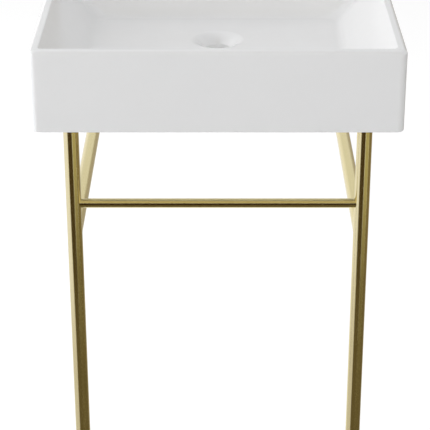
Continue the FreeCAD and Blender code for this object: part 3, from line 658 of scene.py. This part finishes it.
def make_basin(finishes):
    """The casting with its leg blocks and bolt bosses fused on and its holes cut out."""
    basin = make_casting()
    added, holes = [], []
    for side, sign in SIDES:
        added.append(leg_block("block_" + side, sign))
        added.append(bolt_boss("bolt_boss_" + side, sign))
        holes.append(flared_hole("bolt_hole_" + side, BOLT_HOLE,
                                 (sign * BOLT_X, 0.0, BOLT_HEIGHT), "y", DRILL_START,
                                 HALF_DEPTH, BOLT_MOUTH))
        holes.append(insert_hole("insert_hole_" + side, sign))
    holes.append(flared_hole("tap_hole", TAP_HOLE, (0.0, TAP_Y, 0.0), "z", TAP_START, RIM_TOP,
                             TAP_MOUTH))
    boolean(basin, joined(added), "UNION")
    boolean(basin, joined(holes), "DIFFERENCE")
    finish_piece(basin, finishes["glazed_ceramic"], "console", "basin")


# ------------------------------------------------------------------ heads and feet of the legs

# heads, from below: cover disc and rubber pad
DISC_RADIUS, PAD_RADIUS, HEAD_HOLE = 0.023, 0.025, 0.0044
DISC_FOOT, DISC_TOP, DISC_EDGE = 0.737, 0.740, 0.0009
PAD_EDGE, HEAD_HOLE_EDGE = 0.0006, 0.0002

# foot screw: pin, hexagon and threaded stud
PIN_RADIUS, PIN_FOOT, PIN_EDGE = 0.004, 0.0033, 0.0005
HEX_FOOT, HEX_MIDDLE, HEX_CORNER, HEX_FACE = 0.0073, 0.0104, 0.011, 0.0070
STUD_FOOT, STUD_TOP, STUD_RADIUS = 0.0135, 0.0498, 0.00495
STUD_CHAMFER, STUD_CHAMFER_SLOPE = 0.0010, 0.8
PITCH, THREAD_DEPTH = 0.0015, 0.00085
FLANK_SLOPE, CREST_FLAT = 1.30, 0.15

# lock ring
LOCK_FOOT, LOCK_TOP, LOCK_RADIUS, LOCK_BORE = 0.0258, 0.0298, 0.0115, 0.0050
LOCK_EDGE, LOCK_BORE_EDGE = 0.0007, 0.0003
KNURLS, KNURL_DEPTH, KNURL_SHELL = 22, 0.00030, 0.0001

# glide and sole
GLIDE_FOOT, GLIDE_BAND_TOP, GLIDE_TOP = 0.0015, 0.0036, 0.0070
GLIDE_RADIUS, GLIDE_TOP_RADIUS, SOCKET_RADIUS, SOCKET_FLOOR = 0.016, 0.0131, 0.00405, 0.0030
GLIDE_EDGES = (0.0005, 0.0012, 0.0010, 0.0004, 0.0003)
SCALLOPS, SCALLOP_DEPTH = 12, 0.00035
BAND_RADIUS, BAND_FOOT = 0.0150, 0.0019       # the scallops fade in from here, outwards and upwards
BAND_FADE, BAND_FOOT_FADE = 0.0008, 0.0005
SOLE_RADIUS, SOLE_TOP, SOLE_RINGS, GROOVE_DEPTH = 0.015, 0.0015, 5, 0.00035
RINGS_RADIUS, SOLE_RIM = 0.0138, 0.0142       # where the grooves end and the flat rim begins


def leg_centre(sign):
    return (sign * LEG_X, LEG_Y, 0.0)


def washer_corners(hole, outer, foot, top):
    """Corners of a flat ring's section, from half way up its hole and back to there."""
    middle = (foot + top) / 2
    return [(hole, middle), (hole, foot), (outer, foot), (outer, top), (hole, top),
            (hole, middle)]


def washer(name, outer, foot, top, edge, sign):
    """A flat ring with rounded edges: its outline runs round the ring's section and closes."""
    path = eased_profile(washer_corners(HEAD_HOLE, outer, foot, top),
                         (HEAD_HOLE_EDGE, edge, edge, HEAD_HOLE_EDGE))
    return turned(name, path[:-1], leg_centre(sign), closed=True, steps=96)


def hexagon_radius(angle):
    """Distance to a hexagon's side at an angle: its flats stand at corner x cos 30 degrees."""
    from_flat = np.mod(angle, np.pi / 3) - np.pi / 6
    return HEX_CORNER * math.cos(math.pi / 6) / np.cos(from_flat)


def thread_depth(angle, height):
    """How deep a right-hand thread is cut, from 0 at its crest to THREAD_DEPTH at its root.

    The share of a turn is height / PITCH less the angle as a part of a turn. The depth rises
    and falls along straight flanks, with a flat crest and a flat root, and fades to nothing
    over the last pitch at either end of the stud.
    """
    turn = np.mod(height / PITCH - angle / (2 * np.pi), 1.0)
    flank = np.clip(FLANK_SLOPE * np.abs(2.0 * turn - 1.0) - CREST_FLAT, 0.0, 1.0)
    fade = np.clip(np.minimum(height - STUD_FOOT, STUD_TOP - height) / PITCH, 0.0, 1.0)
    return THREAD_DEPTH * flank * fade


def hexagon_profile():
    """The hexagon as a round disc through its corners, chamfered at its foot and its top."""
    flat = HEX_CORNER * math.cos(math.pi / 6)
    chamfer = HEX_CORNER - flat
    radius = np.array((HEX_FACE, flat - 0.0003, flat, flat + 0.4 * chamfer, HEX_CORNER))
    rise = np.array((0.0, 0.0, 0.00008, 0.0004, 0.0011))
    lower = np.stack((radius, HEX_FOOT + rise), axis=-1)
    upper = np.stack((radius, STUD_FOOT - rise), axis=-1)[::-1]
    return np.concatenate(([(PIN_RADIUS, HEX_FOOT)], lower, [(HEX_CORNER, HEX_MIDDLE)], upper))


def stud_profile():
    """The stud as a plain rod at the thread's crest, chamfered at its top and closed there."""
    heights = np.linspace(STUD_FOOT, STUD_TOP, 292)
    chamfer = np.clip(STUD_CHAMFER - (STUD_TOP - heights), 0.0, None) * STUD_CHAMFER_SLOPE
    return np.concatenate((np.stack((STUD_RADIUS - chamfer, heights), axis=-1),
                           [(0.0, STUD_TOP)]))


def make_foot_screw(side, sign, finish):
    """Pin, hexagon with chamfered corners, and threaded stud, as one turned surface.

    The hexagon's flats are cut at hexagon_radius, and the thread by thread_depth.
    """
    pin = eased_profile([(0.0, PIN_FOOT), (PIN_RADIUS, PIN_FOOT), (PIN_RADIUS, HEX_FOOT)],
                        (PIN_EDGE,))
    profile = np.concatenate((pin[:-1], hexagon_profile(), stud_profile()))
    angle = full_turn(72)
    radius, height = profile[:, :1], profile[:, 1:]
    on_hexagon = (height >= HEX_FOOT) & (height <= STUD_FOOT) & (radius > HEX_FACE - 0.0002)
    radius = np.where(on_hexagon, np.minimum(radius, hexagon_radius(angle)), radius)
    on_stud = (height > STUD_FOOT) & (radius > 0.003)
    radius = np.where(on_stud, radius - thread_depth(angle, height), radius)
    points = around(leg_centre(sign), "z", radius, height, angle)
    screw = surface("threaded_foot_screw_" + side, points)
    finish_piece(screw, finish, side + "_foot_screw", "foot_screw_" + side, 32.0)


def make_lock_ring(side, sign, finish):
    """Round nut with a diamond knurl: two sets of crossing grooves, faded at the chamfers.

    With a for the angle and s for the share of the height, the radius is less by KNURL_DEPTH
    times 1 less |sin (22 a + 2 pi s)| |sin (22 a - 2 pi s)|, on the rim only.
    """
    path = eased_profile(washer_corners(LOCK_BORE, LOCK_RADIUS, LOCK_FOOT, LOCK_TOP),
                         (LOCK_BORE_EDGE, LOCK_EDGE, LOCK_EDGE, LOCK_BORE_EDGE), 6, 24)[:-1]
    angle = full_turn(264)
    radius, height = path[:, :1], path[:, 1:]
    slant = (height - LOCK_FOOT) / (LOCK_TOP - LOCK_FOOT)
    ridges = (np.abs(np.sin(KNURLS * angle + 2 * np.pi * slant))
              * np.abs(np.sin(KNURLS * angle - 2 * np.pi * slant)))
    rim_share = np.clip((radius - (LOCK_RADIUS - KNURL_SHELL)) / KNURL_SHELL, 0.0, 1.0)
    fade = rim_share * np.clip(4.0 * slant * (1.0 - slant), 0.0, 1.0)
    points = around(leg_centre(sign), "z", radius - KNURL_DEPTH * (1.0 - ridges) * fade, height,
                    angle)
    lock_ring = surface("knurled_lock_ring_" + side, points, closed_rows=True)
    finish_piece(lock_ring, finish, "console", "foot_lock_ring_" + side, 60.0)


def make_glide(side, sign, finish):
    """Moulded foot: a shallow dome over a band of scallops, with the screw's socket on top.

    With a for the angle, the radius is less by SCALLOP_DEPTH times |sin 12 a|, on the band only.
    """
    path = eased_profile([(0.0, GLIDE_FOOT), (GLIDE_RADIUS, GLIDE_FOOT),
                          (GLIDE_RADIUS, GLIDE_BAND_TOP), (GLIDE_TOP_RADIUS, GLIDE_TOP),
                          (SOCKET_RADIUS, GLIDE_TOP), (SOCKET_RADIUS, SOCKET_FLOOR),
                          (0.0, SOCKET_FLOOR)],
                         GLIDE_EDGES, 6, 6)
    angle = full_turn(144)
    radius, height = path[:, :1], path[:, 1:]
    band = (np.clip((radius - BAND_RADIUS) / BAND_FADE, 0.0, 1.0)
            * np.clip((height - BAND_FOOT) / BAND_FOOT_FADE, 0.0, 1.0))
    scallop = SCALLOP_DEPTH * band * np.abs(np.sin(SCALLOPS * angle))
    points = around(leg_centre(sign), "z", radius - scallop, height, angle)
    glide = surface("moulded_glide_" + side, points)
    finish_piece(glide, finish, side + "_foot_glide", "foot_glide_" + side)


def make_sole(side, sign, finish):
    """Rubber disc with rings moulded into its underside, deepest in the middle of each groove.

    The grooves are the upper halves of a sine that runs through SOLE_RINGS waves to the rim.
    """
    radii = np.linspace(0.0, RINGS_RADIUS, 70)
    turns = radii / RINGS_RADIUS * SOLE_RINGS * 2 * np.pi
    groove = GROOVE_DEPTH * np.clip(np.sin(turns - QUARTER_TURN), 0.0, 1.0)
    underside = np.stack((radii, groove), axis=-1)
    edge = eased_profile([(SOLE_RIM, 0.0), (SOLE_RADIUS, 0.0), (SOLE_RADIUS, SOLE_TOP),
                          (0.0, SOLE_TOP)], (0.0004, 0.0003))
    sole = turned("ringed_sole_" + side, np.concatenate((underside, edge)), leg_centre(sign),
                  steps=96)
    finish_piece(sole, finish, side + "_foot_glide", "foot_sole_" + side)


def make_leg_ends(finishes):
    """Cover disc and rubber pad at the head of each leg; lock ring, screw, glide and sole below."""
    brass, rubber = finishes["turned_brass"], finishes["rubber"]
    for side, sign in SIDES:
        disc = washer("cover_disc_" + side, DISC_RADIUS, DISC_FOOT, DISC_TOP, DISC_EDGE, sign)
        finish_piece(disc, brass, "console", "seat_disc_" + side)
        pad = washer("rubber_pad_" + side, PAD_RADIUS, DISC_TOP, BASIN_FOOT, PAD_EDGE, sign)
        finish_piece(pad, rubber, "console", "seat_pad_" + side)
        make_lock_ring(side, sign, brass)
        make_foot_screw(side, sign, brass)
        make_glide(side, sign, finishes["glide_plastic"])
        make_sole(side, sign, rubber)


# ------------------------------------------------------------------ stage, world and lamps

FLOOR_HALF = 14.0
FLOOR_OWN_WHITE = 0.80
FLOOR_SHADED, FLOOR_LIT = rgb(0.30, 0.30, 0.30), rgb(0.80, 0.80, 0.80)
AMBIENT, WORLD_TO_THE_EYE = 0.30, 1.0

LAMP_AIM = Vector((0.0, 0.0, 0.75))

# name, place, side of the square, watts
LAMPS = (
    ("key_left", (-3.0, -0.3, 1.0), 2.0, 51.0),
    ("rim_left", (-2.2, 1.4, 2.2), 1.8, 36.0),
    ("top", (0.0, 0.0, 3.4), 3.0, 13.2),
    ("front", (0.1, -3.4, 1.9), 2.4, 38.6),
    ("front_high", (0.0, -2.6, 2.9), 2.2, 7.5),
    ("rim_right", (2.4, 1.4, 2.0), 1.8, 16.0),
)

CARD_STEPS = 9
CARD_MIDDLE = np.array((0.0, 0.0, 0.5))
CARD_UNSEEN_BY = ("camera", "diffuse", "shadow", "transmission", "volume_scatter")

# name, turn from the front in degrees (right is positive), height in degrees, distance, colour
CARDS = (
    ("softbox_left", (-126.0, -57.0), (-28.0, 25.0), 9.0, rgb(1.02, 1.05, 1.30)),
    ("dull_left_low", (-126.0, -44.0), (-70.0, -28.0), 9.0, rgb(0.72, 0.71, 0.78)),
    ("dark_front", (-50.0, 14.0), (-27.0, -3.0), 9.0, rgb(0.066, 0.043, 0.018)),
    ("dark_bar", (-18.0, 18.0), (-14.0, 21.0), 8.9, rgb(0.030, 0.014, 0.004)),
    ("dark_low", (-44.0, 130.0), (-89.0, -24.0), 9.5, rgb(0.145, 0.118, 0.062)),
    ("warm_wall_right", (20.0, 67.0), (-24.5, -2.0), 9.0, rgb(0.52, 0.48, 0.27)),
    ("brown_right", (70.0, 126.0), (-26.0, -2.0), 9.0, rgb(0.23, 0.185, 0.10)),
    ("grey_back_right", (125.0, 172.0), (-40.0, 14.0), 9.0, rgb(0.45, 0.415, 0.35)),
    ("soft_back_high", (140.0, 220.0), (10.0, 45.0), 9.0, rgb(0.84, 0.845, 0.85)),
    ("warm_front_high", (-30.0, 30.0), (26.0, 80.0), 9.0, rgb(0.54, 0.47, 0.28)),
)


def seen_by_eye(nodes):
    """1 where the camera looks straight, by a mirror or through glass, else 0."""
    path = nodes.add("ShaderNodeLightPath")
    seen = nodes.math("MAXIMUM", path.outputs["Is Camera Ray"], path.outputs["Is Glossy Ray"])
    return nodes.math("MAXIMUM", seen, path.outputs["Is Transmission Ray"])


def lit_white(nodes):
    """White floor that still takes a shadow: to the eye most of its white is its own."""
    own = nodes.add("ShaderNodeEmission", {"Color": WHITE,
                                           "Strength": FLOOR_OWN_WHITE}).outputs[0]
    shaded = nodes.add("ShaderNodeBsdfDiffuse", {"Color": FLOOR_SHADED}).outputs[0]
    seen = nodes.add("ShaderNodeAddShader", {0: own, 1: shaded}).outputs[0]
    lit = nodes.add("ShaderNodeBsdfDiffuse", {"Color": FLOOR_LIT}).outputs[0]
    return nodes.add("ShaderNodeMixShader", {0: seen_by_eye(nodes), 1: lit, 2: seen}).outputs[0]


def add_stage_piece(name, corners, faces, material):
    mesh = bpy.data.meshes.new(name)
    mesh.from_pydata(corners, [], faces)
    mesh.materials.append(material)
    piece = bpy.data.objects.new(name, mesh)
    bpy.context.scene.collection.objects.link(piece)
    return piece


def add_floor():
    half = FLOOR_HALF
    corners = [(-half, -half, 0.0), (half, -half, 0.0), (half, half, 0.0), (-half, half, 0.0)]
    white = new_material("floor_white", lit_white)
    floor = add_stage_piece("floor", corners, [(0, 1, 2, 3)], white)
    floor.visible_glossy = False


def add_card(name, turns, heights, distance, colour):
    """A studio card that only reflections see: a patch of a ball about the object.

    Its point at turn t and height h, in degrees, lies at distance times
    (sin t cos h, -cos t cos h, sin h) from the middle of the object.
    """
    turn, rise = np.meshgrid(np.radians(np.linspace(*turns, CARD_STEPS)),
                             np.radians(np.linspace(*heights, CARD_STEPS)))
    points = distance * np.stack((np.sin(turn) * np.cos(rise), -np.cos(turn) * np.cos(rise),
                                  np.sin(rise)), axis=-1) + CARD_MIDDLE
    index = np.arange(CARD_STEPS ** 2).reshape(CARD_STEPS, CARD_STEPS)
    faces = np.stack((index[:-1, :-1], index[:-1, 1:], index[1:, 1:], index[1:, :-1]), axis=-1)

    def flat(nodes):
        return nodes.add("ShaderNodeEmission", {"Color": colour, "Strength": 1.0}).outputs[0]
    card = add_stage_piece(name, points.reshape(-1, 3).tolist(), faces.reshape(-1, 4).tolist(),
                           new_material(name, flat))
    for ray in CARD_UNSEEN_BY:
        setattr(card, "visible_" + ray, False)


def add_world():
    """White to the eye and in reflections, and a weaker white as the light from all sides."""
    world = bpy.data.worlds.new("world")
    world.use_nodes = True
    bpy.context.scene.world = world
    nodes = Nodes(world.node_tree)
    strength = nodes.remap(seen_by_eye(nodes), 0.0, 1.0, AMBIENT, WORLD_TO_THE_EYE)
    light = nodes.add("ShaderNodeBackground", {"Color": WHITE, "Strength": strength}).outputs[0]
    nodes.put(nodes.add("ShaderNodeOutputWorld").inputs["Surface"], light)


def add_lamp(name, place, side, watts):
    """A square soft lamp aimed at the basin; the cards stand for it in reflections."""
    data = bpy.data.lights.new(name, "AREA")
    data.shape = "SQUARE"
    data.size = side
    data.energy = watts
    lamp = bpy.data.objects.new(name, data)
    lamp.location = place
    lamp.rotation_euler = (LAMP_AIM - Vector(place)).to_track_quat("-Z", "Y").to_euler()
    lamp.visible_glossy = False
    bpy.context.scene.collection.objects.link(lamp)


def add_studio():
    add_floor()
    add_world()
    for lamp in LAMPS:
        add_lamp(*lamp)
    for card in CARDS:
        add_card(*card)


# ------------------------------------------------------------------ whole scene

bpy.context.scene.view_settings.view_transform = "Standard"
add_camera()
add_studio()
finishes = make_finishes()
dress_nodes(finishes)
make_basin(finishes)
make_leg_ends(finishes)
